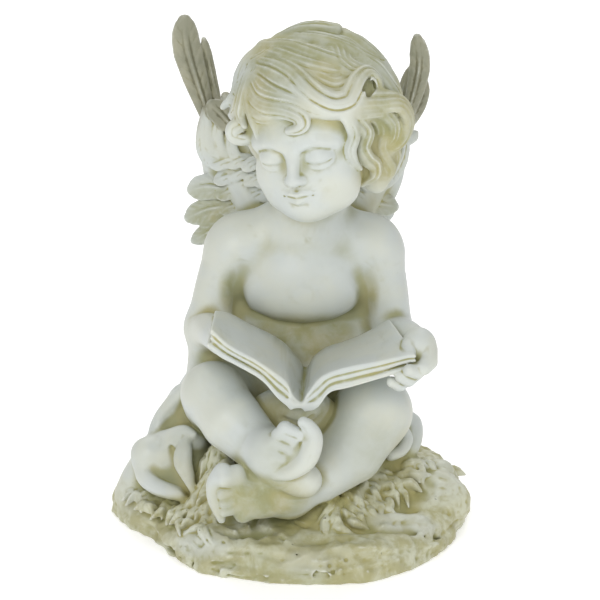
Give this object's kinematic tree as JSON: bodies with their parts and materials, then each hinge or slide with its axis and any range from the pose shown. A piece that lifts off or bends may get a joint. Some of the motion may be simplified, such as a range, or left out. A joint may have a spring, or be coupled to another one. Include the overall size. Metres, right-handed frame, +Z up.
{
  "type": "garden cherub statue",
  "caption": "Seated winged cherub in cast stone, legs crossed, reading an open book on a rough round mound of ground.",
  "frame": {"origin": "on the flat underside of the mound, under the middle of the statue", "axes": "+Z up, -Y towards the viewer the book and feet face, +X towards the cherub's left hand"},
  "size_m": [0.2302, 0.207, 0.3229],
  "materials": {
    "cast_stone": "satin"
  },
  "bodies": {
    "root": {"cherub_statue": "cast_stone"}
  },
  "joints": []
}
